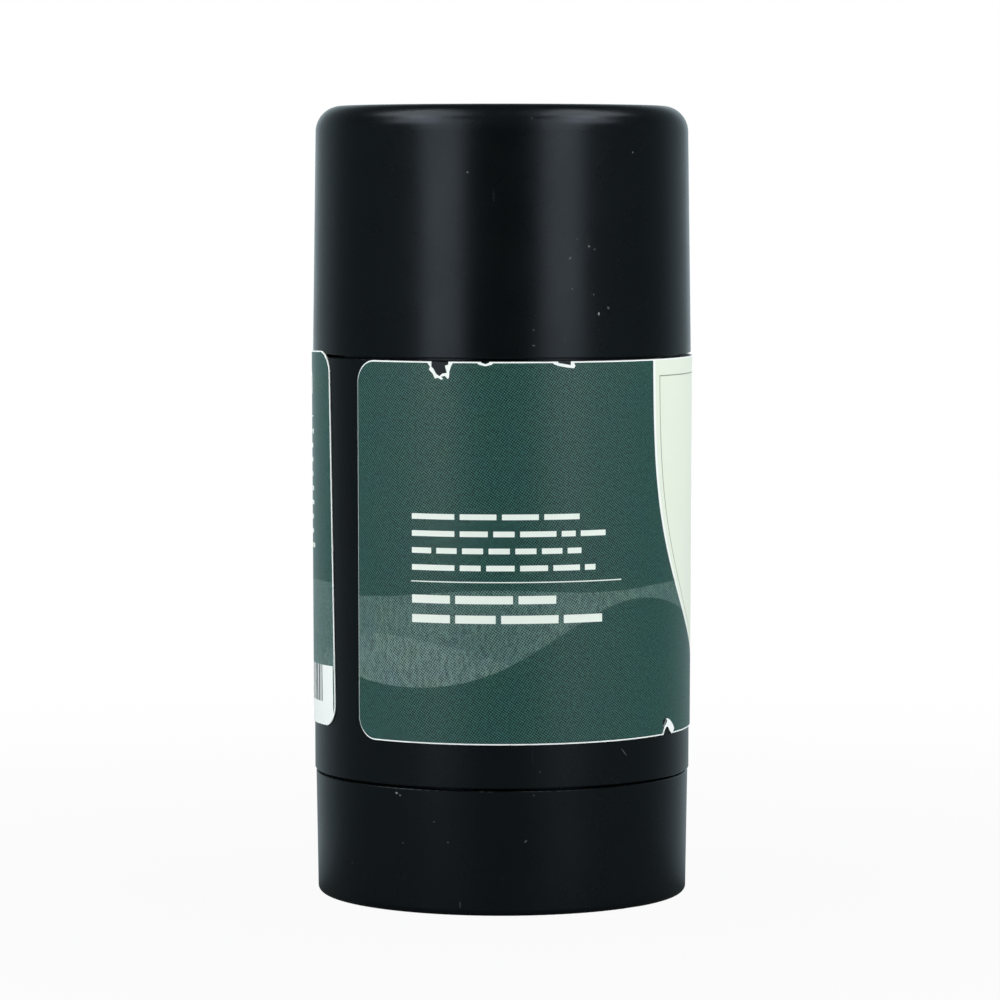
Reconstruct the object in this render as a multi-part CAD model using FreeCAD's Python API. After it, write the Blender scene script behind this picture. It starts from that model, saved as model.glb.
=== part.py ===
"""Round twist-up deodorant stick with its cap on.

Millimetres, +Z up, origin at the centre of the circle that the base stands on.
The side that carries the label's small print looks along -Y. Angles round the stick
are in degrees from -Y towards +X, so 90 is the +X side and -90 the -X side.

The base dial turns under the barrel and takes the feed screw round with it. The screw's
left-handed thread lifts the elevator, which four ribs in the barrel keep from turning,
and the elevator pushes the bar up. The cap pulls straight off the barrel's neck.
"""

import FreeCAD
import Part
import math
import os

V = FreeCAD.Vector
ORIGIN = V(0, 0, 0)
UP = V(0, 0, 1)

# Outside form
overall_height = 103.5
base_height = 16.15             # up to the lower seam
cap_length = 32.25
seam_gap = 0.3                  # open line above and below the barrel
barrel_foot_radius = 24.7
barrel_flare = 0.2              # the barrel is wider by this at its shoulder
cap_step = 0.04                 # the cap's open edge is this far inside the shoulder
cap_taper = 0.45                # the cap is narrower by this at its closed end
cap_edge_radius = 3.4
base_step = 0.15                # the base's upper edge is this far inside the barrel
base_taper = 0.25
base_edge_radius = 0.8
small_edge = 0.15               # broken edge along the seams

# Cap
cap_wall = 1.3
cap_top_wall = 1.5
cap_inner_corner = 2.4
cap_skirt_step = 0.2            # the wall thickens by this above the neck
cap_draft = 0.4
cap_rib_count = 8
cap_rib_width = 1.0
cap_rib_end = 5.3               # from the ribs' upper end to the cap's top

# Barrel
neck_height = 6.6
neck_clearance = 0.15           # between the neck and the cap's wall
neck_wall = 1.15
grip_ring_clearance = 0.04      # between the neck's grip rings and the cap's wall
grip_ring_width = 0.9
grip_ring_heights = (1.9, 4.5)  # above the shoulder
barrel_floor = 1.8
guide_count = 4
guide_width = 1.6
guide_height = 0.7
guide_below_rim = 6.0
spigot_length = 6.9
spigot_wall = 1.65
snap_height = 0.35              # bead on the spigot
snap_width = 1.4
snap_from_end = 1.5

# Base dial
dial_clearance = 0.15           # between the spigot or its bead and the dial
dial_wall = 1.75
dial_floor = 1.4
dial_recess = 0.9               # the underside is raised inside the standing ring
standing_ring_width = 1.5
dial_rib_count = 8
dial_rib_width = 1.0
dial_rib_height = 3.7
hub_radius = 6.5

# Feed screw
screw_lead = 4.8
screw_core_radius = 3.1
screw_crest_radius = 4.2
ridge_root_width = 2.0
ridge_crest_width = 1.0
journal_radius = 4.6
journal_clearance = 0.1
journal_bead = 0.35
flange_radius = 8.0
flange_thickness = 1.8
flange_play = 0.2
tail_across_flats = 7.0
tail_length = 10.5
tail_clearance = 0.05
screw_tip_below_crown = 3.2

# Elevator and bar
bar_clearance = 0.15            # between the bore and what slides in it
platform_rise = 7.8             # platform's top above the barrel's floor
platform_thickness = 1.6
skirt_wall = 1.1
skirt_below = 5.0               # below the platform's top
skirt_above = 2.5
nut_radius = 6.6
nut_below = 6.7
nut_above = 1.5
flank_clearance = 0.2
crest_clearance = 0.25
spoke_count = 6
spoke_width = 1.2
spoke_height = 2.9
window_inner_radius = 8.5
window_outer_radius = 18.5
crown_below_rim = 0.1
crown_height = 2.5
crown_edge_radius = 1.2
bar_bore_radius = 4.5
bar_bore_roof = 2.5             # bar left over the bore

# Wrap label
label_thickness = 0.1
label_glue = 0.03               # adhesive between the barrel and the film
label_top_below_shoulder = 0.08
label_height = 48.8
label_start = -47.7             # upright edge of the front end
label_far_end = 299.8           # foot of the far end
label_drift = 0.7               # the far quarter of the wrap climbs away from level
drift_start = 190.0
label_corner_radius = 3.0

# Worn places on the label's edges: (along the wrap from the front, in from the edge)
upper_tear = ((-9.1, -0.9), (-9.15, 0.68), (-8.9, 0.87), (-8.5, 1.57), (-8.05, 1.87),
              (-7.65, 1.52), (-7.05, 1.42), (-7.3, 0.52), (-6.85, 0.37), (-6.85, -0.9))
upper_scuff = ((7.1, -0.9), (7.2, 0.17), (8.9, 0.47), (8.9, -0.9))
upper_nick = ((-2.9, -0.9), (-2.6, 0.12), (-2.1, 0.3), (-1.6, 0.12), (-1.4, -0.9))
lower_tear = ((25.1, -0.7), (25.3, -0.02), (25.7, 0.33), (25.95, 0.78), (26.4, 0.13),
              (26.9, -0.7))

# Levels and radii that follow
cap_z = overall_height - cap_length
shoulder_z = cap_z - seam_gap
barrel_z = base_height + seam_gap
rim_z = shoulder_z + neck_height
barrel_shoulder_radius = barrel_foot_radius + barrel_flare
cap_open_radius = barrel_shoulder_radius - cap_step
cap_closed_radius = cap_open_radius - cap_taper
cap_bore_radius = cap_open_radius - cap_wall
cap_roof_z = overall_height - cap_top_wall
neck_radius = cap_bore_radius - neck_clearance
bore_radius = neck_radius - neck_wall
floor_top_z = barrel_z + barrel_floor
guide_radius = bore_radius - guide_height
base_top_radius = barrel_foot_radius - base_step
base_foot_radius = base_top_radius - base_taper
dial_bore_radius = base_top_radius - dial_wall
spigot_radius = dial_bore_radius - dial_clearance
spigot_end_z = barrel_z - spigot_length
dial_floor_z = dial_recess + dial_floor
slider_radius = bore_radius - bar_clearance
platform_z = floor_top_z + platform_rise
crown_z = rim_z - crown_below_rim
flange_top_z = barrel_z - flange_play
flange_z = flange_top_z - flange_thickness
bar_edge_z = crown_z - crown_height
screw_tip_z = crown_z - screw_tip_below_crown


def outline(corners):
    """Closed wire in the XZ plane through (radius, height) corners.

    A third value rounds that corner with a tangent arc of that radius.
    """
    points = [V(corner[0], 0, corner[1]) for corner in corners]
    bends = []
    for index, corner in enumerate(corners):
        here = points[index]
        if len(corner) < 3:
            bends.append((here, None, here))
            continue
        back = (points[index - 1] - here).normalize()
        ahead = (points[(index + 1) % len(points)] - here).normalize()
        half = back.getAngle(ahead) / 2
        reach = corner[2] / math.tan(half)
        inward = (back + ahead).normalize()
        middle = here + inward * (corner[2] / math.sin(half) - corner[2])
        bends.append((here + back * reach, middle, here + ahead * reach))
    edges = []
    for index, (start, middle, end) in enumerate(bends):
        if middle is not None:
            edges.append(Part.Arc(start, middle, end).toShape())
        following = bends[(index + 1) % len(bends)][0]
        if (following - end).Length > 1e-6:
            edges.append(Part.makeLine(end, following))
    return Part.Wire(edges)


def turned(corners, start=-90.0, sweep=360.0):
    """Solid of revolution of an outline, from a start angle counted from +X."""
    face = Part.Face(outline(corners))
    if start:
        face.rotate(ORIGIN, UP, start)
    return face.revolve(ORIGIN, UP, sweep)


def tube(outer, inner, z_low, z_high):
    return turned([(inner, z_low), (outer, z_low), (outer, z_high), (inner, z_high)])


def disc(radius, z_low, z_high):
    return Part.makeCylinder(radius, z_high - z_low, V(0, 0, z_low))


def spokes(count, width, r_inner, r_outer, z_low, z_high, first=0.0):
    """Upright radial blades, evenly spaced, the first at an angle from +X."""
    blades = []
    for index in range(count):
        blade = Part.makeBox(r_outer - r_inner, width, z_high - z_low,
                             V(r_inner, -width / 2, z_low))
        blade.rotate(ORIGIN, UP, first + index * 360.0 / count)
        blades.append(blade)
    return blades


def hexagon(across_flats, z_low, z_high):
    corner = across_flats / math.sqrt(3)
    points = [V(corner * math.cos(math.radians(60 * k)),
                corner * math.sin(math.radians(60 * k)), z_low) for k in range(7)]
    return Part.Face(Part.makePolygon(points)).extrude(V(0, 0, z_high - z_low))


def screw_ridge(z_low, z_high, flank_gap=0.0, crest_gap=0.0):
    """Left-handed trapezoid ridge, always in the same phase, between two levels.

    It reaches a little into the core so that the two join. The gaps widen it for the
    groove that it runs in.
    """
    bite = 0.4
    crest = screw_crest_radius + crest_gap
    slope = (ridge_root_width - ridge_crest_width) / (screw_crest_radius - screw_core_radius)
    inner = screw_core_radius - bite
    inner_half = (ridge_root_width + slope * bite) / 2 + flank_gap
    crest_half = (ridge_crest_width - slope * crest_gap) / 2 + flank_gap
    first_turn = math.floor((z_low - floor_top_z) / screw_lead) - 1
    z_start = floor_top_z + first_turn * screw_lead
    turns = math.ceil((z_high - z_start) / screw_lead) + 1
    helix = Part.makeLongHelix(screw_lead, screw_lead * turns, screw_core_radius, 0, True)
    profile = Part.makePolygon([V(inner, 0, -inner_half), V(crest, 0, -crest_half),
                                V(crest, 0, crest_half), V(inner, 0, inner_half),
                                V(inner, 0, -inner_half)])
    ridge = Part.Wire(helix.Edges).makePipeShell([profile], True, True)
    ridge.translate(V(0, 0, z_start))
    return ridge.common(disc(crest + 1.0, z_low, z_high))


def wall_frame(angle):
    """Outward and sideways directions at an angle round the stick."""
    turn = math.radians(angle)
    outward = V(math.sin(turn), -math.cos(turn), 0)
    along = V(math.cos(turn), math.sin(turn), 0)
    return outward, along


def barrel_radius_at(z):
    return barrel_foot_radius + barrel_flare * (z - barrel_z) / (shoulder_z - barrel_z)


def through_wall(wire_points, angle, z, tilt=0.0):
    """Prism cut radially through the label; points are (along, up) from a place on it.

    A point with a third value is the middle of an arc between its two neighbours.
    """
    outward, along = wall_frame(angle)
    lean = math.radians(tilt)
    side = along * math.cos(lean) + UP * math.sin(lean)
    rise = UP * math.cos(lean) - along * math.sin(lean)
    depth = 2.0
    seat = outward * (barrel_radius_at(z) - depth) + V(0, 0, z)
    places = [seat + side * point[0] + rise * point[1] for point in wire_points]
    edges = []
    index = 0
    while index < len(places):
        ahead = (index + 1) % len(places)
        if len(wire_points[ahead]) == 3:
            end = (index + 2) % len(places)
            edges.append(Part.Arc(places[index], places[ahead], places[end]).toShape())
            index += 2
        else:
            edges.append(Part.makeLine(places[index], places[ahead]))
            index += 1
    return Part.Face(Part.Wire(edges)).extrude(outward * (2 * depth))


def label_corner(angle, z, side, up, tilt=0.0):
    """What a rounded corner takes away; side and up point out of the label."""
    radius = label_corner_radius
    over = 0.6
    inset = radius * (1 - math.sqrt(0.5))
    points = [(-side * radius, 0), (-side * radius, up * over), (side * over, up * over),
              (side * over, -up * radius), (0, -up * radius),
              (-side * inset, -up * inset, "arc")]
    return through_wall(points, angle, z, tilt)


def make_cap():
    corner_z = rim_z + 0.6
    inner_closed = cap_bore_radius - cap_skirt_step - cap_draft
    shell = turned([
        (cap_bore_radius, cap_z, small_edge), (cap_open_radius, cap_z, small_edge),
        (cap_closed_radius, overall_height, cap_edge_radius), (0, overall_height),
        (0, cap_roof_z), (inner_closed, cap_roof_z, cap_inner_corner),
        (cap_bore_radius - cap_skirt_step, corner_z + cap_skirt_step),
        (cap_bore_radius, corner_z)])
    rib_radius = bore_radius + bar_clearance
    ribs = spokes(cap_rib_count, cap_rib_width, rib_radius, cap_bore_radius + cap_wall / 3,
                  rim_z, overall_height - cap_rib_end, first=22.5)
    return shell.fuse(ribs).removeSplitter()


def make_barrel():
    ring = []
    for height in grip_ring_heights:
        middle = shoulder_z + height
        crest = cap_bore_radius - grip_ring_clearance
        ring += [(neck_radius, middle - grip_ring_width / 2),
                 (crest, middle - grip_ring_width / 6),
                 (crest, middle + grip_ring_width / 6),
                 (neck_radius, middle + grip_ring_width / 2)]
    bead_z = spigot_end_z + snap_from_end
    bead_radius = spigot_radius + snap_height
    spigot_inner = spigot_radius - spigot_wall
    hole_radius = journal_radius + journal_clearance
    shell = turned([
        (barrel_foot_radius, barrel_z, small_edge),
        (barrel_shoulder_radius, shoulder_z, small_edge), (neck_radius, shoulder_z),
        *ring,
        (neck_radius, rim_z, 0.4), (bore_radius, rim_z, 0.3),
        (bore_radius, floor_top_z, 0.8), (hole_radius, floor_top_z),
        (hole_radius, barrel_z), (spigot_inner, barrel_z),
        (spigot_inner, spigot_end_z), (spigot_radius, spigot_end_z, 0.4),
        (spigot_radius, bead_z), (bead_radius, bead_z + snap_width / 2),
        (spigot_radius, bead_z + snap_width), (spigot_radius, barrel_z)])
    guides = spokes(guide_count, guide_width, guide_radius, bore_radius + neck_wall / 2,
                    floor_top_z - 0.5, rim_z - guide_below_rim, first=45.0)
    return shell.fuse(guides).removeSplitter()


def make_base_dial():
    groove_z = spigot_end_z + snap_from_end - dial_clearance
    groove_radius = dial_bore_radius + snap_height
    groove_width = snap_width + 2 * dial_clearance
    ring_outer = base_foot_radius - base_edge_radius
    ring_inner = ring_outer - standing_ring_width
    shell = turned([
        (0, dial_recess), (ring_inner - dial_recess, dial_recess), (ring_inner, 0),
        (base_foot_radius, 0, base_edge_radius), (base_top_radius, base_height, small_edge),
        (dial_bore_radius, base_height),
        (dial_bore_radius, groove_z + groove_width),
        (groove_radius, groove_z + groove_width / 2),
        (dial_bore_radius, groove_z),
        (dial_bore_radius, dial_floor_z, 1.0), (0, dial_floor_z)])
    socket_z = flange_z - tail_length - 2 * tail_clearance
    hub = disc(hub_radius, dial_floor_z - 0.5, flange_z)
    socket = hexagon(tail_across_flats + 2 * tail_clearance, socket_z, flange_z + 1)
    ribs = spokes(dial_rib_count, dial_rib_width, hub_radius - 1.0,
                  dial_bore_radius + dial_wall / 3, dial_floor_z - 0.5,
                  dial_floor_z + dial_rib_height)
    return shell.fuse([hub] + ribs).cut(socket).removeSplitter()


def make_feed_screw():
    bead_z = floor_top_z + journal_clearance + 0.05
    bead_top_z = bead_z + 2 * journal_bead
    ridge_z = bead_top_z + 0.3
    spindle = turned([
        (0, flange_z), (flange_radius, flange_z, 0.3), (flange_radius, flange_top_z, 0.3),
        (journal_radius, flange_top_z), (journal_radius, bead_z),
        (journal_radius + journal_bead, bead_z + journal_bead / 2),
        (journal_radius, bead_top_z), (screw_core_radius, bead_top_z),
        (screw_core_radius, screw_tip_z, 1.2), (0, screw_tip_z)])
    tail = hexagon(tail_across_flats, flange_z - tail_length, flange_z + 0.5)
    ridge = screw_ridge(ridge_z, screw_tip_z - 2.0)
    return spindle.fuse([tail, ridge])


def make_elevator():
    skirt_z = platform_z - skirt_below
    lip_z = platform_z + skirt_above
    nut_z = platform_z - nut_below
    nut_top_z = platform_z + nut_above
    under_z = platform_z - platform_thickness
    inner = slider_radius - skirt_wall
    plate = disc(slider_radius - skirt_wall / 2, under_z, platform_z)
    skirt = tube(slider_radius, inner, skirt_z, lip_z)
    webs = spokes(spoke_count, spoke_width, nut_radius - 1.0, inner + skirt_wall / 2,
                  under_z - spoke_height, under_z + 0.5)
    windows = []
    ring = tube(window_outer_radius, window_inner_radius, under_z - 0.1, platform_z + 0.1)
    for blade in spokes(spoke_count, 2 * spoke_width, 0, bore_radius, under_z - 1.0,
                        platform_z + 1.0):
        ring = ring.cut(blade)
    windows.append(ring)
    notches = spokes(guide_count, guide_width + 2 * bar_clearance,
                     guide_radius - bar_clearance, bore_radius + 1.0,
                     skirt_z - 1.0, lip_z + 1.0, first=45.0)
    nut = disc(nut_radius, nut_z, nut_top_z)
    passage = disc(screw_core_radius + crest_clearance, nut_z - 1.0, nut_top_z + 1.0)
    groove = screw_ridge(nut_z - 1.0, nut_top_z + 1.0, flank_clearance, crest_clearance)
    plate = plate.cut(windows)
    body = plate.fuse([skirt, nut] + webs).removeSplitter()
    return body.cut(notches).cut([passage, groove])


def make_bar(elevator):
    """The bar is cast on the elevator: it fills its windows and keys into its lip."""
    lip_z = platform_z + skirt_above
    inner = slider_radius - skirt_wall
    under_z = platform_z - platform_thickness
    crown_sphere = (slider_radius ** 2 + crown_height ** 2) / (2 * crown_height)
    side = tube(slider_radius, bar_bore_radius, lip_z, crown_z + 1.0)
    foot = tube(inner, bar_bore_radius, under_z, lip_z)
    crown = Part.makeSphere(crown_sphere, V(0, 0, crown_z - crown_sphere))
    roof = disc(bar_bore_radius + 0.5, crown_z - bar_bore_roof, crown_z + 1.0)
    blank = side.fuse([foot, roof]).common(crown).removeSplitter()
    rounded = [edge for edge in blank.Edges
               if abs(edge.BoundBox.ZMax - bar_edge_z) < 0.01
               and edge.BoundBox.XLength > 2 * slider_radius - 0.1]
    blank = blank.makeFillet(crown_edge_radius, rounded)
    grooves = spokes(guide_count, guide_width + 2 * bar_clearance,
                     guide_radius - bar_clearance, bore_radius + 1.0, under_z - 1.0,
                     rim_z - guide_below_rim + 2 * bar_clearance, first=45.0)
    solid_elevator = elevator.fuse(disc(nut_radius, under_z - 1.0, platform_z + nut_above))
    bar = blank.cut(grooves).cut(solid_elevator)
    bar = bar.cut(disc(bar_bore_radius, under_z - 1.0, crown_z - bar_bore_roof))
    return bar


def label_band(z_low, z_high, start, end):
    """Part turn of the label's film, stuck to the tapered barrel."""
    low = barrel_radius_at(z_low) + label_glue
    high = barrel_radius_at(z_high) + label_glue
    return turned([(low, z_low), (low + label_thickness, z_low),
                   (high + label_thickness, z_high), (high, z_high)],
                  start=start - 90.0, sweep=end - start)


def drift_at(angle):
    return label_drift * (1 - math.cos(math.radians(angle - drift_start)))


def make_label():
    top_z = shoulder_z - label_top_below_shoulder
    foot_z = top_z - label_height
    reach = 1.5 * barrel_foot_radius
    level = label_band(foot_z, top_z, label_start, drift_start)
    climbing = label_band(foot_z - 2.0, top_z + 3.0, drift_start, label_far_end + 5.0)
    outward, along = wall_frame(drift_start)
    corners = []
    for away, z in ((-reach, foot_z), (reach, foot_z), (reach, top_z), (-reach, top_z)):
        rise = label_drift * (1 - away / barrel_foot_radius)
        corners.append(outward * away + V(0, 0, z + rise) - along * reach)
    slab = Part.Face(Part.makePolygon(corners + corners[:1])).extrude(along * (2 * reach))
    climbing = climbing.common(slab)
    far_slope = label_drift * math.sin(math.radians(label_far_end - drift_start))
    far_tilt = math.degrees(math.atan(far_slope / barrel_foot_radius))
    far_foot_z = foot_z + drift_at(label_far_end)
    beyond = through_wall([(0, -5.0), (6.0, -5.0), (6.0, label_height + 5.0),
                           (0, label_height + 5.0)], label_far_end, far_foot_z, far_tilt)
    climbing = climbing.cut(beyond)
    shift = label_height * math.tan(math.radians(far_tilt)) / barrel_shoulder_radius
    far_top = label_far_end - math.degrees(shift)
    cuts = [
        label_corner(label_start, top_z, -1, 1),
        label_corner(label_start, foot_z, -1, -1),
        label_corner(far_top, top_z + drift_at(far_top), 1, 1, far_tilt),
        label_corner(label_far_end, far_foot_z, 1, -1, far_tilt)]
    for edge_z, inward, tears in ((top_z, -1, (upper_tear, upper_scuff, upper_nick)),
                                  (foot_z, 1, (lower_tear,))):
        for tear in tears:
            middle = (tear[0][0] + tear[-1][0]) / 2
            angle = math.degrees(middle / (barrel_foot_radius + label_thickness))
            points = [(place - middle, inward * depth) for place, depth in tear]
            cuts.append(through_wall(points, angle, edge_z))
    return level.fuse(climbing).cut(cuts).removeSplitter()


elevator = make_elevator()
pieces = {
    "cap": make_cap(),
    "barrel": make_barrel(),
    "wrap_label": make_label(),
    "base_dial": make_base_dial(),
    "feed_screw": make_feed_screw(),
    "elevator": elevator,
    "deodorant_bar": make_bar(elevator),
}

os.makedirs("parts", exist_ok=True)
for name, piece in pieces.items():
    piece.exportStep("parts/" + name + ".step")
    print(name, "solids", len(piece.Solids), "valid", piece.isValid(),
          "volume", round(piece.Volume, 1))
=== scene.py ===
"""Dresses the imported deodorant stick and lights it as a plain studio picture.

The frame is in metres, and so are the camera, the floor and the lights. The label and the
marks are drawn in millimetres and turned into metres by MM. Angles round the stick are in
degrees from -Y towards +X.
"""

import math
import random

import bmesh
import bpy
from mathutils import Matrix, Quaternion, Vector
from mathutils.geometry import delaunay_2d_cdt


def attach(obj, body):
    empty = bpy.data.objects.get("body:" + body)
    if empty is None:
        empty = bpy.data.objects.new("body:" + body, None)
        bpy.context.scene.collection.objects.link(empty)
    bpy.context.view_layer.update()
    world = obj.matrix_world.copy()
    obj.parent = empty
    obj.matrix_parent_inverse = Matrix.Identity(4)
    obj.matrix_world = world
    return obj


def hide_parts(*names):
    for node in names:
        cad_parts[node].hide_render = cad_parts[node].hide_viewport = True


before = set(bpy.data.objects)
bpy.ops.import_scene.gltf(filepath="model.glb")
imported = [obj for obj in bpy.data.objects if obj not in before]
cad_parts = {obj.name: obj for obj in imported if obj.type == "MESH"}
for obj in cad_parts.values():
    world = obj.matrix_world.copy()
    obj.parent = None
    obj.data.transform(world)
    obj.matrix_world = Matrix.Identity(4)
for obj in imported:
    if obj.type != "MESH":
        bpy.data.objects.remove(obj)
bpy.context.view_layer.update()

MM = 0.001
WHITE = (1.0, 1.0, 1.0, 1.0)

# The camera, fitted to the curves of the two seams and of the base's foot
CAMERA_LENS = 170.85            # focal length in millimetres
CAMERA_PLACE = (-0.00025, -0.625, 0.09406)
CAMERA_DIP = 3.88               # degrees below level

# What the plastic mirrors: a cool surround that brightens in steps from front to back, each
# as (start, end, gain) along the direction's Y
SURROUND_TINT = (0.76, 0.93, 1.0, 1.0)
SURROUND_STEPS = ((-0.95, -0.5, 0.13), (0.3, 1.0, 0.34), (0.86, 1.0, 0.6))
FLOOR_RADIUS = 0.6
FLOOR_COLOUR = (0.08, 0.096, 0.1, 1.0)

# Display colours of the mouldings and the wax
BLACK = "#06090a"
SCUFFED = "#b4bab8"
WHITE_PLASTIC = ("#e6e8e3", "#dce0d9")
WAX = ("#ebe7d9", "#e0dac8")
SHINE_TINT = (0.74, 0.87, 1.0, 1.0)     # of the black plastic's reflections

# The print: its coordinates are the flat label's, in units of PRINT_UNIT millimetres
PRINT_UNIT = 100.0
SCREEN_PITCH = 0.285            # millimetres from dot to dot
SCREEN_SLANT = -56              # degrees
COOL_PATCH = (0.94, 0.96, 1.1, 1.0)

# The barrel's outside and the label on it, as the construction has them
BARREL_FOOT = 16.45
BARREL_SHOULDER = 70.95
FOOT_RADIUS = 24.7
FLARE = 0.2
CAP_RADIUS = 24.65
BASE_RADIUS = 24.45
LABEL_GLUE = 0.03
LABEL_THICK = 0.1
LABEL_TOP = 70.87
LABEL_HEIGHT = 48.8
LABEL_FOOT = LABEL_TOP - LABEL_HEIGHT
LABEL_START = -47.7
LABEL_FAR = 299.8
LABEL_CORNER = 3.0
LABEL_DRIFT = 0.7
DRIFT_START = 190.0
FLAT_RADIUS = 24.9              # the flat label's lengths are measured on this radius
PER_DEGREE = math.radians(1) * FLAT_RADIUS

# Flat label: along the wrap from the front line, and height above the floor
LEFT = LABEL_START * PER_DEGREE
RIGHT = LABEL_FAR * PER_DEGREE
PANEL_CENTRE = 125.35 * PER_DEGREE
PANEL_HALF = 32.0               # half width of the front panel at its top
PANEL_TAPER = 1.0               # what it loses evenly down to its foot
PANEL_SWEEP = 30.0              # what it loses in a curve near its foot
PAST_EDGE = 1.0                 # how far printed fields run past the film before it is cut
COLUMN_DEGREES = 1.5            # step at which the flat label is cut to bend it round

# Bare film that shows between the label's cut edge and its print
BARE_LEFT = 0.045
BARE_RIGHT = 0.27
BARE_FOOT = 0.16
BARE_TOP = 0.18
BARE_CORNER = 0.12

# Worn places on the label's upper and lower edge: along the wrap, and in from the edge
UPPER_TEARS = (
    ((-9.1, -0.9), (-9.15, 0.68), (-8.9, 0.87), (-8.5, 1.57), (-8.05, 1.87), (-7.65, 1.52),
     (-7.05, 1.42), (-7.3, 0.52), (-6.85, 0.37), (-6.85, -0.9)),
    ((7.1, -0.9), (7.2, 0.17), (8.9, 0.47), (8.9, -0.9)),
    ((-2.9, -0.9), (-2.6, 0.12), (-2.1, 0.3), (-1.6, 0.12), (-1.4, -0.9)))
LOWER_TEARS = (
    ((24.75, -0.7), (24.95, -0.02), (25.2, 0.5), (25.7, 1.0), (26.15, 0.95),
     (26.55, 0.5), (27.1, 0.02), (27.4, -0.7)),
    ((25.75, 2.1), (25.4, 2.2), (24.95, 1.95), (24.7, 1.5), (24.85, 1.1), (25.2, 1.2),
     (25.5, 1.62)))

# Specks and scratches: angle, height, length, width, slope down to the right, strength
CAP_MARKS = (
    (29.8, 76.86, 0.34, 0.52, 0, 0.36), (33.1, 77.59, 0.5, 0.4, 40, 0.12),
    (-10.2, 94.81, 0.34, 0.3, 0, 0.2), (9.3, 72.92, 0.4, 0.25, 0, 0.16),
    (9.3, 74.88, 0.28, 0.3, 0, 0.12), (26.6, 85.42, 0.4, 0.3, 30, 0.2),
    (28.5, 85.04, 0.28, 0.25, 0, 0.1), (28.1, 79.31, 0.3, 0.25, 0, 0.14),
    (20.5, 83.94, 0.55, 0.25, -45, 0.14), (21.1, 80.04, 0.3, 0.25, 0, 0.1),
    (22.8, 86.36, 0.25, 0.25, 0, 0.1), (43.0, 97.35, 0.3, 0.3, 0, 0.18),
    (17.0, 89.6, 4.2, 0.16, -48, 0.012), (14.6, 90.6, 3.0, 0.16, -52, 0.01),
    (15.5, 98.8, 5.5, 0.2, -32, 0.012), (15.5, 84.0, 2.6, 0.14, -70, 0.01))
BARREL_MARKS = ((39.4, 20.5, 1.7, 0.2, 49, 0.1), (11.3, 18.6, 0.3, 0.25, 0, 0.08))
BASE_MARKS = (
    (-33.4, 15.42, 0.5, 0.34, 0, 0.3), (-32.2, 15.15, 0.36, 0.3, 0, 0.2),
    (7.1, 9.69, 0.6, 0.22, -40, 0.15), (-16.4, 9.44, 0.3, 0.25, 0, 0.1),
    (-31.3, 9.0, 0.3, 0.25, 0, 0.08), (9.5, 15.6, 0.3, 0.25, 0, 0.12),
    (-12.7, 1.45, 0.16, 1.0, 0, 0.1), (-20.8, 12.0, 0.3, 0.25, 0, 0.08))

# White core of the film, which shows round the tears
UPPER_FRINGES = (
    ((-9.75, 0.0), (-9.6, 0.27), (-9.3, 0.67), (-9.45, 1.02), (-8.96, 1.52), (-8.65, 2.17),
     (-8.25, 2.06), (-7.75, 2.32), (-7.55, 2.17), (-7.8, 1.92), (-7.3, 1.82), (-6.92, 2.22),
     (-6.75, 1.97), (-6.72, 1.27), (-6.52, 0.67), (-6.3, 0.22), (-6.3, 0.0)),
    ((6.3, 0.0), (6.6, 0.32), (7.3, 0.57), (8.4, 0.77), (9.3, 0.87), (9.5, 0.62),
     (9.3, 0.0)),
    ((-3.4, 0.0), (-2.9, 0.37), (-2.1, 0.57), (-1.3, 0.37), (-0.9, 0.0)))
LOWER_FRINGES = (
    ((24.65, 0.0), (24.84, 0.29), (25.12, 1.02), (25.55, 1.36), (25.95, 1.72),
     (25.67, 2.13), (26.2, 2.01), (26.79, 1.76), (27.58, 1.14), (28.03, 0.57),
     (27.75, 0.23), (27.6, 0.0)),)


# materials

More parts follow.
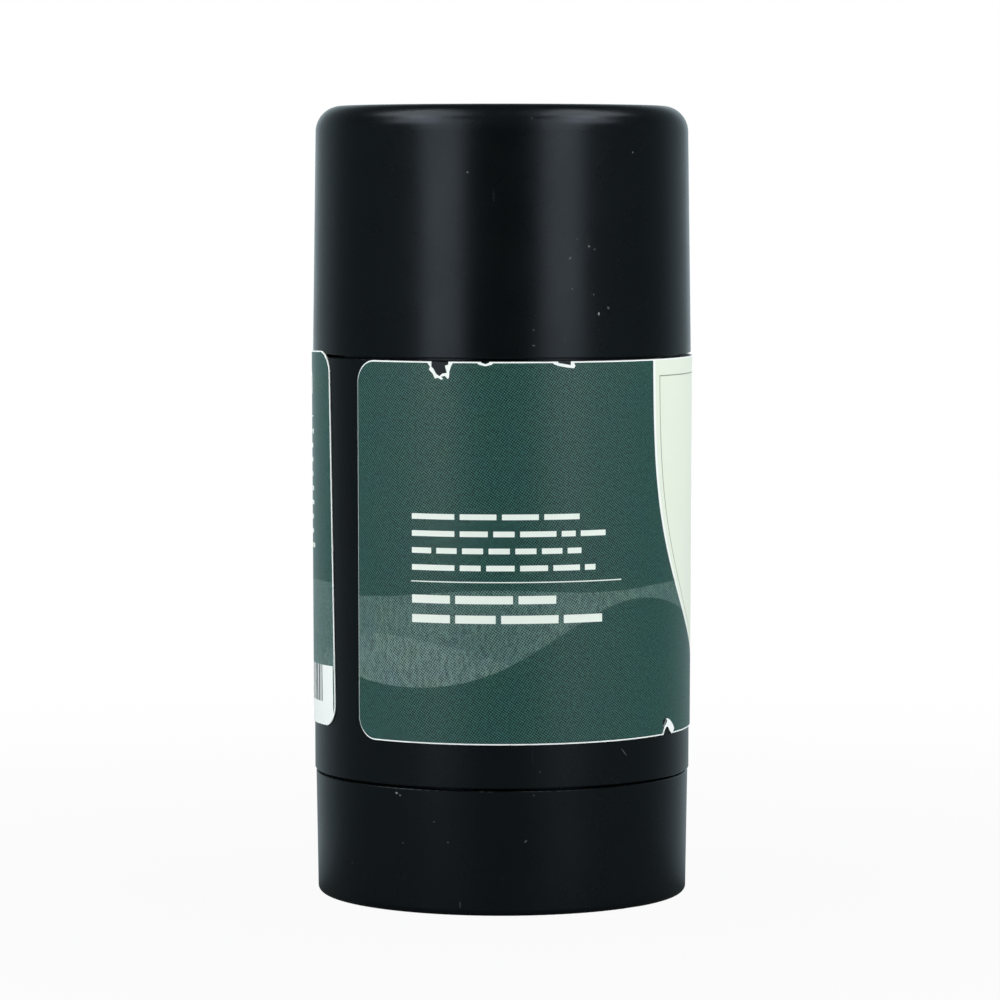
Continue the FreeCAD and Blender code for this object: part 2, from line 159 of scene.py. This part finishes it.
class Nodes:
    """Adds shader nodes to a material or a world and links them in one line each."""

    def __init__(self, owner):
        owner.use_nodes = True
        self.owner = owner
        self.tree = owner.node_tree
        self.shader = self.tree.nodes.get("Principled BSDF")

    def add(self, kind, inputs=None, **settings):
        node = self.tree.nodes.new(kind)
        for key, value in settings.items():
            setattr(node, key, value)
        for key, value in (inputs or {}).items():
            self.feed(node, key, value)
        return node

    def feed(self, node, key, value):
        if isinstance(value, bpy.types.NodeSocket):
            self.tree.links.new(value, node.inputs[key])
        else:
            node.inputs[key].default_value = value

    def math(self, operation, a, b=0.0):
        return self.add("ShaderNodeMath", {0: a, 1: b}, operation=operation).outputs[0]

    def spread(self, value, low, high, to_low=0.0, to_high=1.0, curve="LINEAR"):
        node = self.add("ShaderNodeMapRange", {"Value": value, "From Min": low,
                        "From Max": high, "To Min": to_low, "To Max": to_high},
                        interpolation_type=curve)
        return node.outputs["Result"]

    def rotated(self, vector, scale, turn):
        node = self.add("ShaderNodeMapping", {"Vector": vector, "Scale": scale,
                        "Rotation": turn})
        return node.outputs["Vector"]

    def object_place(self):
        return self.add("ShaderNodeTexCoord").outputs["Object"]

    def print_place(self):
        return self.add("ShaderNodeUVMap", uv_map="print").outputs["UV"]

    def axes(self, vector):
        return self.add("ShaderNodeSeparateXYZ", {"Vector": vector}).outputs

    def length(self, vector):
        node = self.add("ShaderNodeVectorMath", {0: vector}, operation="LENGTH")
        return node.outputs["Value"]

    def noise(self, vector, scale, detail=2.0, rough=0.5):
        node = self.add("ShaderNodeTexNoise", {"Vector": vector, "Scale": scale,
                        "Detail": detail, "Roughness": rough})
        return node.outputs["Fac"]

    def mix(self, factor, a, b, blend="MIX"):
        node = self.add("ShaderNodeMix", data_type="RGBA", blend_type=blend)
        self.feed(node, 0, factor)
        self.feed(node, 6, a)
        self.feed(node, 7, b)
        return node.outputs[2]

    def bump(self, height, strength, distance):
        node = self.add("ShaderNodeBump", {"Height": height, "Strength": strength,
                        "Distance": distance})
        self.feed(self.shader, "Normal", node.outputs["Normal"])

    def surface(self, inputs):
        for key, value in inputs.items():
            self.feed(self.shader, key, value)


def linear(code):
    """Scene colour of a #rrggbb display colour."""
    def channel(value):
        value /= 255
        return value / 12.92 if value <= 0.04045 else ((value + 0.055) / 1.055) ** 2.4
    return tuple(channel(int(code[k:k + 2], 16)) for k in (1, 3, 5)) + (1.0,)


def new_material(name):
    return Nodes(bpy.data.materials.new(name))


def black_plastic(name, radius, marks):
    """Satin black moulding: faint grain, uneven gloss, and its own specks and scratches.

    Each mark is (angle, height, length, width, slope, strength) on the moulding's side, with
    the slope in degrees down to the right.
    """
    nodes = new_material(name)
    place = nodes.object_place()
    grain = nodes.noise(place, 5200.0)
    cloud = nodes.noise(place, 90.0, 4.0, 0.6)
    rubs = nodes.rotated(place, (2600.0, 2600.0, 180.0), (0.4, 0.3, 0.0))
    rub = nodes.spread(nodes.noise(rubs, 1.0, 1.0), 0.77, 0.82)
    specks = nodes.add("ShaderNodeTexVoronoi", {"Vector": place, "Scale": 260.0},
                       feature="F1")
    speck = nodes.spread(specks.outputs["Distance"], 0.05, 0.035)
    chance = nodes.math("GREATER_THAN", nodes.add("ShaderNodeSeparateColor", {
        "Color": specks.outputs["Color"]}).outputs[0], 0.93)
    speck = nodes.math("MULTIPLY", speck, chance)
    worn = nodes.math("MAXIMUM", nodes.math("MULTIPLY", rub, 0.02),
                      nodes.math("MULTIPLY", speck, 0.03))
    for angle, height, length, width, slope, strength in marks:
        turn = math.radians(angle)
        across = nodes.add("ShaderNodeMapping", {
            "Vector": place, "Rotation": (0.0, math.radians(slope), turn),
            "Location": (radius * MM * math.sin(turn), -radius * MM * math.cos(turn),
                         height * MM),
            "Scale": (length / 2 * MM, MM, width / 2 * MM)}, vector_type="TEXTURE")
        away = nodes.length(across.outputs["Vector"])
        worn = nodes.math("MAXIMUM", worn, nodes.spread(away, 1.0, 0.5, 0.0, strength))
    nodes.surface({"Base Color": nodes.mix(worn, linear(BLACK), linear(SCUFFED)),
                   "Roughness": nodes.spread(cloud, 0.3, 0.7, 0.24, 0.31),
                   "Specular IOR Level": 0.4, "Specular Tint": SHINE_TINT})
    nodes.bump(nodes.math("ADD", nodes.math("MULTIPLY", grain, 0.5), cloud), 0.15, 0.00002)
    return nodes.owner


def printed(name, ink, dot, brush=0.0):
    """Printed film: a fine halftone screen at a slant, over uneven, brushed ink."""
    nodes = new_material(name)
    flat = nodes.print_place()
    waves = 2 * math.pi * PRINT_UNIT / SCREEN_PITCH
    slanted = nodes.rotated(flat, (waves, waves, 1.0), (0.0, 0.0, math.radians(SCREEN_SLANT)))
    axes = nodes.axes(slanted)
    screen = nodes.math("ADD", nodes.math("SINE", axes["X"]), nodes.math("SINE", axes["Y"]))
    cloud = nodes.noise(flat, 120.0, 3.0, 0.6)
    speckle = nodes.noise(flat, 260.0, 3.0, 0.8)
    screen = nodes.math("ADD", screen, nodes.spread(speckle, 0.3, 0.7, -0.9, 0.9))
    tone = nodes.spread(screen, -0.5, 0.5, -0.05, 1.05)
    strokes = nodes.rotated(flat, (210.0, 60.0, 1.0), (0.0, 0.0, 0.25))
    stroke = nodes.spread(nodes.noise(strokes, 1.0, 4.0, 0.7), 0.35, 0.65, -brush, brush)
    tone = nodes.math("ADD", tone, stroke)
    tone = nodes.math("MULTIPLY", tone, nodes.spread(cloud, 0.3, 0.7, 0.8, 1.2))
    colour = nodes.mix(tone, linear(ink), linear(dot))
    patch = nodes.spread(nodes.noise(flat, 28.0, 3.0, 0.6), 0.35, 0.65)
    nodes.surface({"Base Color": nodes.mix(patch, colour, COOL_PATCH, "MULTIPLY"),
                   "Roughness": 0.36, "Specular IOR Level": 0.45})
    nodes.bump(nodes.noise(flat, 420.0, 3.0), 0.12, 0.00002)
    return nodes.owner


def plain_ink(name, colour):
    """Unscreened ink or bare film, with only a little mottle."""
    nodes = new_material(name)
    flat = nodes.print_place()
    shade = nodes.spread(nodes.noise(flat, 260.0, 3.0), 0.2, 0.8, 0.0, 0.06)
    base = linear(colour)
    darker = tuple(part * 0.8 for part in base[:3]) + (1.0,)
    nodes.surface({"Base Color": nodes.mix(shade, base, darker), "Roughness": 0.42,
                   "Specular IOR Level": 0.4})
    nodes.bump(nodes.noise(flat, 420.0, 3.0), 0.12, 0.00002)
    return nodes.owner


def white_plastic(name):
    """White moulding of the inner pieces, which lets a little light in."""
    nodes = new_material(name)
    place = nodes.object_place()
    pale, deep = WHITE_PLASTIC
    cloud = nodes.noise(place, 60.0, 3.0)
    nodes.surface({"Base Color": nodes.mix(cloud, linear(pale), linear(deep)),
                   "Roughness": 0.4, "Subsurface Weight": 0.1, "Subsurface Scale": 0.001})
    nodes.bump(nodes.noise(place, 900.0), 0.1, 0.00003)
    return nodes.owner


def wax(name):
    """Solid deodorant: pale, slightly translucent, with tiny pits and drag marks."""
    nodes = new_material(name)
    place = nodes.object_place()
    pale, deep = WAX
    cloud = nodes.noise(place, 140.0, 4.0, 0.6)
    nodes.surface({"Base Color": nodes.mix(cloud, linear(pale), linear(deep)),
                   "Roughness": nodes.spread(cloud, 0.3, 0.7, 0.42, 0.58),
                   "Subsurface Weight": 0.25, "Subsurface Scale": 0.002})
    pits = nodes.spread(nodes.noise(place, 1300.0), 0.62, 0.72)
    relief = nodes.math("SUBTRACT", nodes.noise(place, 300.0, 3.0),
                        nodes.math("MULTIPLY", pits, 0.4))
    nodes.bump(relief, 0.35, 0.00012)
    return nodes.owner


# label

def barrel_radius(height):
    """The barrel flares a little from its foot to its shoulder."""
    share = (height - BARREL_FOOT) / (BARREL_SHOULDER - BARREL_FOOT)
    return FOOT_RADIUS + FLARE * share


def wrap(along, height, proud):
    """Place on the barrel of a point of the flat label, and its outward direction.

    The last part of the wrap climbs and leans, because the label was wound on askew.
    """
    angle = along / FLAT_RADIUS
    past = angle - math.radians(DRIFT_START)
    if past > 0:
        lean = LABEL_DRIFT / FOOT_RADIUS * math.sin(past)
        angle -= (height - LABEL_FOOT) * lean / FLAT_RADIUS
        past = max(0.0, angle - math.radians(DRIFT_START))
        height += LABEL_DRIFT * (1 - math.cos(past))
    radius = barrel_radius(height) + proud
    outward = Vector((math.sin(angle), -math.cos(angle), 0.0))
    return (outward * radius + Vector((0.0, 0.0, height))) * MM, outward


def rounded_box(left, low, right, high, radius, steps=8):
    """Counter-clockwise outline of a box with rounded corners."""
    points = []
    for x, y, first in ((right - radius, high - radius, 0), (left + radius, high - radius, 90),
                        (left + radius, low + radius, 180), (right - radius, low + radius, 270)):
        for k in range(steps + 1):
            turn = math.radians(first + 90 * k / steps)
            points.append((x + radius * math.cos(turn), y + radius * math.sin(turn)))
    return points


def on_edges(upper, lower):
    """Outlines given in from the label's upper and lower edges, as places on the flat."""
    return ([[(along, LABEL_TOP - depth) for along, depth in shape] for shape in upper]
            + [[(along, LABEL_FOOT + depth) for along, depth in shape] for shape in lower])


def box(left, low, right, high):
    return [(left, low), (right, low), (right, high), (left, high)]


def circle(x, y, radius):
    steps = 28
    return [(x + radius * math.cos(2 * math.pi * k / steps),
             y + radius * math.sin(2 * math.pi * k / steps)) for k in range(steps)]


def panel_half_width(height, inset):
    """The front panel narrows towards its foot in one smooth sweep."""
    fall = max(0.0, (LABEL_TOP - height) / LABEL_HEIGHT)
    return PANEL_HALF - inset - PANEL_TAPER * fall - PANEL_SWEEP * fall ** 3.4


def panel_outline(inset, top, foot):
    """Outline of the front panel, drawn in from its edge by inset."""
    steps = 28
    heights = [top + (foot - top) * k / steps for k in range(steps + 1)]
    left = [(PANEL_CENTRE - panel_half_width(h, inset), h) for h in heights]
    right = [(PANEL_CENTRE + panel_half_width(h, inset), h) for h in heights]
    return left + right[::-1]


def hills(base, swings):
    """Rolling ground across the whole label: everything under a sum of slow waves."""
    steps = 150
    low = LABEL_FOOT - PAST_EDGE
    ridge = []
    for k in range(steps + 1):
        along = LEFT - PAST_EDGE + (RIGHT - LEFT + 2 * PAST_EDGE) * k / steps
        height = base
        for size, length, shift in swings:
            height += size * math.sin(2 * math.pi * (along + shift) / length)
        ridge.append((along, height))
    return [(LEFT - PAST_EDGE, low), (RIGHT + PAST_EDGE, low)] + ridge[::-1]


def word_bars(left, right, middle, thick, ragged, seed, lengths=(1.9, 2.7, 3.6, 4.7, 5.8)):
    """A line of plain bars of word-like lengths between two ends."""
    gap = 0.7
    shortest = 0.8
    draw = random.Random(seed)
    bars = []
    at = left
    end = right - draw.uniform(0.0, ragged)
    while at < end - shortest:
        length = min(draw.choice(lengths), end - at)
        bars.append(box(at, middle - thick / 2, at + length, middle + thick / 2))
        at += length + gap
    return bars


def label_art():
    """Printed fields from the bottom layer up: (outline, material name)."""
    art = []

    def paint(outline, ink):
        art.append((outline, ink))

    # Ground and rolling hills
    paint(hills(40.8, ((0.9, 151.0, 22.0), (0.35, 31.0, 10.0))), "label_haze")
    paint(hills(32.6, ((3.4, 52.0, 27.0), (0.5, 23.0, 5.0))), "label_mid")
    paint(hills(34.4, ((5.7, 70.0, -4.5), (0.5, 29.0, 21.0))), "label_green")

    # Back panel: lines of small print as plain bars, over and under a rule
    for row, end in enumerate((10.5, 15.5, 11.5, 12.5)):
        for bar in word_bars(-11.9, end, 51.15 - 2.17 * row, 0.72, 0.8, 11 + row):
            paint(bar, "label_pale")
    paint(box(-12.0, 42.78, 16.4, 42.92), "label_pale")
    for row, end in enumerate((7.0, 13.5)):
        for bar in word_bars(-11.9, end, 40.6 - 2.5 * row, 1.05, 1.0, 31 + row,
                             (5.2, 7.4, 9.8)):
            paint(bar, "label_pale")

    # Front panel with its inner line
    paint(panel_outline(-0.35, LABEL_TOP + PAST_EDGE, LABEL_FOOT + 2.0), "label_white")
    paint(panel_outline(0.1, LABEL_TOP + PAST_EDGE, LABEL_FOOT + 2.5), "label_cream")
    paint(panel_outline(1.0, 68.75, LABEL_FOOT + 4.2), "label_rule")
    paint(panel_outline(1.14, 68.61, LABEL_FOOT + 4.4), "label_cream")

    # Plain bars where a title would stand
    paint(box(PANEL_CENTRE - 17.0, 52.2, PANEL_CENTRE + 17.0, 54.6), "label_ink")
    paint(box(PANEL_CENTRE - 10.5, 49.3, PANEL_CENTRE + 10.5, 50.4), "label_ink")
    paint(box(PANEL_CENTRE - 13.5, 47.1, PANEL_CENTRE + 13.5, 47.22), "label_rule")
    for row in range(2):
        for bar in word_bars(PANEL_CENTRE - 10.0, PANEL_CENTRE + 10.5, 45.4 - 1.7 * row,
                             0.6, 0.5, 51 + row):
            paint(bar, "label_ink")

    # A ring and a frame over the far panel's small print
    far_left = 91.0
    paint(circle(120.3, 66.6, 1.5), "label_pale")
    paint(circle(120.3, 66.6, 1.1), "label_green")
    paint(box(114.0, 65.4, 117.2, 67.8), "label_pale")
    paint(box(114.3, 65.7, 116.9, 67.5), "label_green")
    paint(box(far_left, 62.2, 122.3, 62.36), "label_pale")
    for row in range(9):
        for bar in word_bars(far_left, 123.0, 60.3 - 1.87 * row, 0.62, 1.6, 71 + row):
            paint(bar, "label_pale")

    # White block with plain stripes of mixed widths
    block_left = 98.0
    block_right = RIGHT - 0.62
    block_top = 29.9
    paint(rounded_box(block_left, LABEL_FOOT - 0.2, block_right, 29.0, 2.3), "label_white")
    paint(box(block_left, 25.5, block_right, block_top), "label_white")
    draw = random.Random(5)
    at = 102.0
    while at < 126.0:
        width = draw.choice((0.22, 0.34, 0.6))
        paint(box(at, 25.1, at + width, block_top), "label_black")
        at += width + draw.choice((0.2, 0.28, 0.4))
    return art


def cut_flat(shapes):
    """Cuts the flat label along every outline, and into columns that bend round the barrel.

    Gives the points, the cells, and for each cell the numbers of the shapes that cover it.
    """
    places = []
    faces = []
    for shape in shapes:
        turns = sum(a[0] * b[1] - b[0] * a[1] for a, b in zip(shape, shape[1:] + shape[:1]))
        if turns < 0:
            shape = shape[::-1]
        faces.append(list(range(len(places), len(places) + len(shape))))
        places += [Vector(point) for point in shape]
    edges = []
    columns = int((LABEL_FAR - LABEL_START) / COLUMN_DEGREES)
    for k in range(1, columns):
        along = LEFT + (RIGHT - LEFT) * k / columns
        edges.append((len(places), len(places) + 1))
        places += [Vector((along, LABEL_FOOT - 0.5)), Vector((along, LABEL_TOP + 0.5))]
    flat, _, cells, _, _, owners = delaunay_2d_cdt(places, edges, faces, 0, 1e-5, True)
    return flat, cells, owners


def printed_cells(inks):
    """The flat label's points, and its cells with the number of the ink that shows in each."""
    film = rounded_box(LEFT, LABEL_FOOT, RIGHT, LABEL_TOP, LABEL_CORNER, 12)
    ground = rounded_box(LEFT + BARE_LEFT, LABEL_FOOT + BARE_FOOT, RIGHT - BARE_RIGHT,
                         LABEL_TOP - BARE_TOP, LABEL_CORNER - BARE_CORNER, 12)
    fields = [(film, "label_white"), (ground, "label_green")] + label_art()
    first_fringe = len(fields)
    fields += [(shape, "label_white") for shape in on_edges(UPPER_FRINGES, LOWER_FRINGES)]
    first_tear = len(fields)
    fields += [(shape, None) for shape in on_edges(UPPER_TEARS, LOWER_TEARS)]

    flat, cells, owners = cut_flat([shape for shape, _ in fields])
    kept = []
    for cell, owner in zip(cells, owners):
        if 0 not in owner or max(owner) >= first_tear:
            continue
        top = max(owner)
        if top < first_fringe and 1 not in owner:
            top = 0                 # outside the printed ground the film is bare
        kept.append((cell, inks.index(fields[top][1])))
    return flat, kept


def make_label(materials):
    """The printed film as one closed sheet, cut from the flat and laid on the barrel."""
    inks = list(materials)
    back = inks.index("label_white")
    flat, kept = printed_cells(inks)
    used = sorted({v for cell, _ in kept for v in cell})
    index = {v: k for k, v in enumerate(used)}
    count = len(used)
    outer = [wrap(flat[v].x, flat[v].y, LABEL_GLUE + LABEL_THICK) for v in used]
    inner = [wrap(flat[v].x, flat[v].y, LABEL_GLUE) for v in used]
    points = [p for p, _ in outer] + [p for p, _ in inner]
    normals = [n for _, n in outer]

    polygons = []
    inks_of = []
    loop_normals = []
    borders = {}                # edges with one cell only, in a fixed order
    for cell, ink in kept:
        ring = [index[v] for v in cell]
        polygons.append(ring)
        inks_of.append(ink)
        loop_normals += [normals[v] for v in ring]
        for a, b in zip(ring, ring[1:] + ring[:1]):
            if (b, a) in borders:
                del borders[(b, a)]
            else:
                borders[(a, b)] = True
    for cell, _ in kept:
        ring = [index[v] + count for v in reversed(cell)]
        polygons.append(ring)
        inks_of.append(back)
        loop_normals += [-normals[v - count] for v in ring]
    for a, b in borders:
        ring = [b, a, a + count, b + count]
        polygons.append(ring)
        inks_of.append(back)
        side = (points[b] - points[a]).cross(normals[a]).normalized()
        loop_normals += [side] * 4

    mesh = bpy.data.meshes.new("label_sheet")
    mesh.from_pydata(points, [], polygons)
    for ink in inks:
        mesh.materials.append(materials[ink])
    mesh.polygons.foreach_set("material_index", inks_of)
    mesh.polygons.foreach_set("use_smooth", [True] * len(polygons))
    sheet_uv = mesh.uv_layers.new(name="print")
    for loop in mesh.loops:
        v = used[loop.vertex_index % count]
        sheet_uv.data[loop.index].uv = (flat[v].x / PRINT_UNIT, flat[v].y / PRINT_UNIT)
    mesh.normals_split_custom_set(loop_normals)
    label = bpy.data.objects.new("label_sheet", mesh)
    bpy.context.collection.objects.link(label)
    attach(label, "barrel_body")
    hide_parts("wrap_label")


# camera and light

def make_camera():
    """A long lens from the front, a little below the cap's top, dipping slightly."""
    camera = bpy.data.cameras.new("camera")
    camera.lens = CAMERA_LENS
    camera.sensor_width = 36.0
    camera.clip_start = 0.01
    holder = bpy.data.objects.new("camera", camera)
    holder.location = CAMERA_PLACE
    holder.rotation_euler = (math.radians(90 - CAMERA_DIP), 0.0, 0.0)
    bpy.context.collection.objects.link(holder)
    bpy.context.scene.camera = holder


def area_light(name, azimuth, distance, height, width, tall, watts, matt=False, aim=0.05,
               lean=0.0):
    """Soft box at an azimuth round the stick, turned towards the axis.

    A matt one lights the colours and isn't mirrored, as through crossed polarisers. A lean
    turns the box on its own axis, in degrees.
    """
    light = bpy.data.lights.new(name, "AREA")
    light.shape = "RECTANGLE"
    light.size = width
    light.size_y = tall
    light.energy = watts
    holder = bpy.data.objects.new(name, light)
    turn = math.radians(azimuth)
    holder.location = (distance * math.sin(turn), -distance * math.cos(turn), height)
    toward = Vector((0.0, 0.0, aim)) - holder.location
    facing = toward.to_track_quat("-Z", "Y") @ Quaternion((0, 0, 1), math.radians(lean))
    holder.rotation_euler = facing.to_euler()
    holder.visible_glossy = not matt
    bpy.context.collection.objects.link(holder)


def make_world():
    """Studio surround: dim in front of the stick and pale behind it, white where seen."""
    world = bpy.data.worlds.new("studio")
    bpy.context.scene.world = world
    nodes = Nodes(world)
    nodes.tree.nodes.clear()
    axes = nodes.axes(nodes.add("ShaderNodeTexCoord").outputs["Generated"])
    level = 0.0
    for start, end, gain in SURROUND_STEPS:
        level = nodes.math("ADD", level, nodes.spread(axes["Y"], start, end, 0.0, gain,
                                                      "SMOOTHSTEP"))
    level = nodes.math("MULTIPLY", level, nodes.spread(axes["Z"], 0.15, 0.6, 1.0, 0.1))
    surround = nodes.add("ShaderNodeBackground", {"Color": SURROUND_TINT, "Strength": level})
    seen = nodes.add("ShaderNodeBackground", {"Color": WHITE, "Strength": 1.0})
    rays = nodes.add("ShaderNodeLightPath").outputs
    mix = nodes.add("ShaderNodeMixShader", {0: rays["Is Camera Ray"], 1: surround.outputs[0],
                    2: seen.outputs[0]})
    nodes.add("ShaderNodeOutputWorld", {"Surface": mix.outputs[0]})


def make_floor():
    """Pale round floor that keeps a soft shadow and fades into the white surround.

    What the stick mirrors of it is dim in front and brighter behind, like the surround.
    """
    mesh = bpy.data.meshes.new("floor")
    rim = bmesh.new()
    bmesh.ops.create_circle(rim, cap_ends=True, segments=96, radius=FLOOR_RADIUS)
    rim.to_mesh(mesh)
    rim.free()
    floor = bpy.data.objects.new("floor", mesh)
    bpy.context.collection.objects.link(floor)

    nodes = new_material("floor")
    nodes.surface({"Base Color": FLOOR_COLOUR, "Roughness": 0.9, "Specular IOR Level": 0.1})
    rays = nodes.add("ShaderNodeLightPath").outputs
    glow = nodes.add("ShaderNodeEmission", {"Strength": 1.0, "Color": nodes.mix(
        rays["Is Camera Ray"], SURROUND_TINT, WHITE)})
    place = nodes.object_place()
    away = nodes.length(place)
    fade = nodes.spread(away, 0.04, 0.25, 0.95, 1.0)
    behind = nodes.math("DIVIDE", nodes.axes(place)["Y"], away)
    level = nodes.spread(behind, 0.1, 1.0, 0.1, 0.75)
    level = nodes.math("MULTIPLY", level, level)
    near = nodes.math("MULTIPLY", nodes.spread(away, 0.15, 0.05, 0.0, 0.14),
                      nodes.spread(behind, 0.0, 0.3))
    level = nodes.math("ADD", level, near)
    bounced = nodes.math("MAXIMUM", rays["Is Glossy Ray"], rays["Is Transmission Ray"])
    white = nodes.math("MAXIMUM", nodes.math("MULTIPLY", rays["Is Camera Ray"], fade),
                       nodes.math("MULTIPLY", bounced, level))
    mix = nodes.add("ShaderNodeMixShader", {0: white, 1: nodes.shader.outputs[0],
                    2: glow.outputs[0]})
    nodes.feed(nodes.tree.nodes["Material Output"], "Surface", mix.outputs[0])
    mesh.materials.append(nodes.owner)


# assembly

def dress(node, material):
    """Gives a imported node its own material."""
    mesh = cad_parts[node].data
    if not mesh.materials:
        mesh.materials.append(material)
    for slot in range(len(mesh.materials)):
        mesh.materials[slot] = material


make_camera()
make_world()
make_floor()

# Soft boxes: azimuth, distance, height, width, tall, watts
area_light("left_strip", -38.0, 0.6, 0.3, 0.3, 0.62, 1.05, lean=8.0)
area_light("right_strip", 38.5, 0.6, 0.3, 0.3, 0.62, 1.05, lean=-8.0)
area_light("left_side", -62.0, 0.46, 0.5, 0.3, 0.3, 0.66, aim=0.1)
area_light("right_side", 62.0, 0.46, 0.5, 0.3, 0.3, 0.6, aim=0.1)
area_light("left_upper", -88.0, 0.45, 0.9, 0.62, 0.45, 2.2, aim=0.1)
area_light("right_upper", 88.0, 0.45, 0.9, 0.62, 0.45, 2.1, aim=0.1)
area_light("left_fill", -65.0, 0.7, 0.12, 0.5, 0.5, 5.1, matt=True)
area_light("right_fill", 65.0, 0.7, 0.12, 0.5, 0.5, 5.1, matt=True)
area_light("back_fill", 180.0, 0.7, 0.12, 0.6, 0.5, 4.0, matt=True)
area_light("top_box", 180.0, 0.12, 0.75, 0.5, 0.5, 0.4, matt=True)

dress("cap", black_plastic("cap_plastic", CAP_RADIUS, CAP_MARKS))
dress("barrel", black_plastic("barrel_plastic", FOOT_RADIUS, BARREL_MARKS))
dress("base_dial", black_plastic("base_plastic", BASE_RADIUS, BASE_MARKS))
dress("feed_screw", white_plastic("screw_plastic"))
dress("elevator", white_plastic("elevator_plastic"))
dress("deodorant_bar", wax("deodorant"))

label_materials = {
    "label_white": plain_ink("label_white", "#e8eeec"),
    "label_green": printed("label_green", "#000b0d", "#38645a"),
    "label_haze": printed("label_haze", "#182e31", "#618175", brush=0.35),
    "label_mid": printed("label_mid", "#1f3737", "#6f8b81", brush=0.45),
    "label_pale": plain_ink("label_pale", "#dfe8e1"),
    "label_cream": plain_ink("label_cream", "#dbe3d5"),
    "label_rule": plain_ink("label_rule", "#7f8a7a"),
    "label_ink": plain_ink("label_ink", "#35554f"),
    "label_black": plain_ink("label_black", "#30363c"),
}
make_label(label_materials)

bpy.context.scene.view_settings.view_transform = "Standard"
